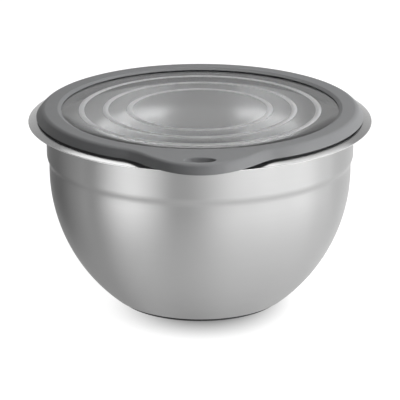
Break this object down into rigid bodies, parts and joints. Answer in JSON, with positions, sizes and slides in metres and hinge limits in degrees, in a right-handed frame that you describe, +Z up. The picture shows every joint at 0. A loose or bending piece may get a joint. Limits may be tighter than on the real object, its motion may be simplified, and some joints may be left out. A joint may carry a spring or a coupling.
{
  "type": "mixing bowl with lid",
  "caption": "Deep round steel mixing bowl with a flared flange and a foot pad, closed by a lift-off lid with a see-through panel, a soft rim and a pull tab.",
  "frame": {"origin": "middle of the foot pad's underside, on the table", "axes": "+Z up through the lid, -Y towards the pull tab at the front, +X to the right of a person facing the tab"},
  "size_m": [0.24, 0.2584, 0.1386],
  "materials": {
    "steel": "satin drawn stainless steel",
    "pad_rubber": "matt dark grey silicone",
    "rim_grey": "satin soft grey",
    "panel_clear": "clear smoke-grey panel with frosted ridges"
  },
  "bodies": {
    "bowl": {"bowl_shell": "steel", "base_pad": "pad_rubber"},
    "lid": {"lid_rim": "rim_grey", "lid_panel": "panel_clear"}
  },
  "joints": [
    {"name": "lid_lift", "type": "slide", "parent": "bowl", "child": "lid", "axis": [0, 0, 1], "range_m": [0, 0.12]}
  ]
}
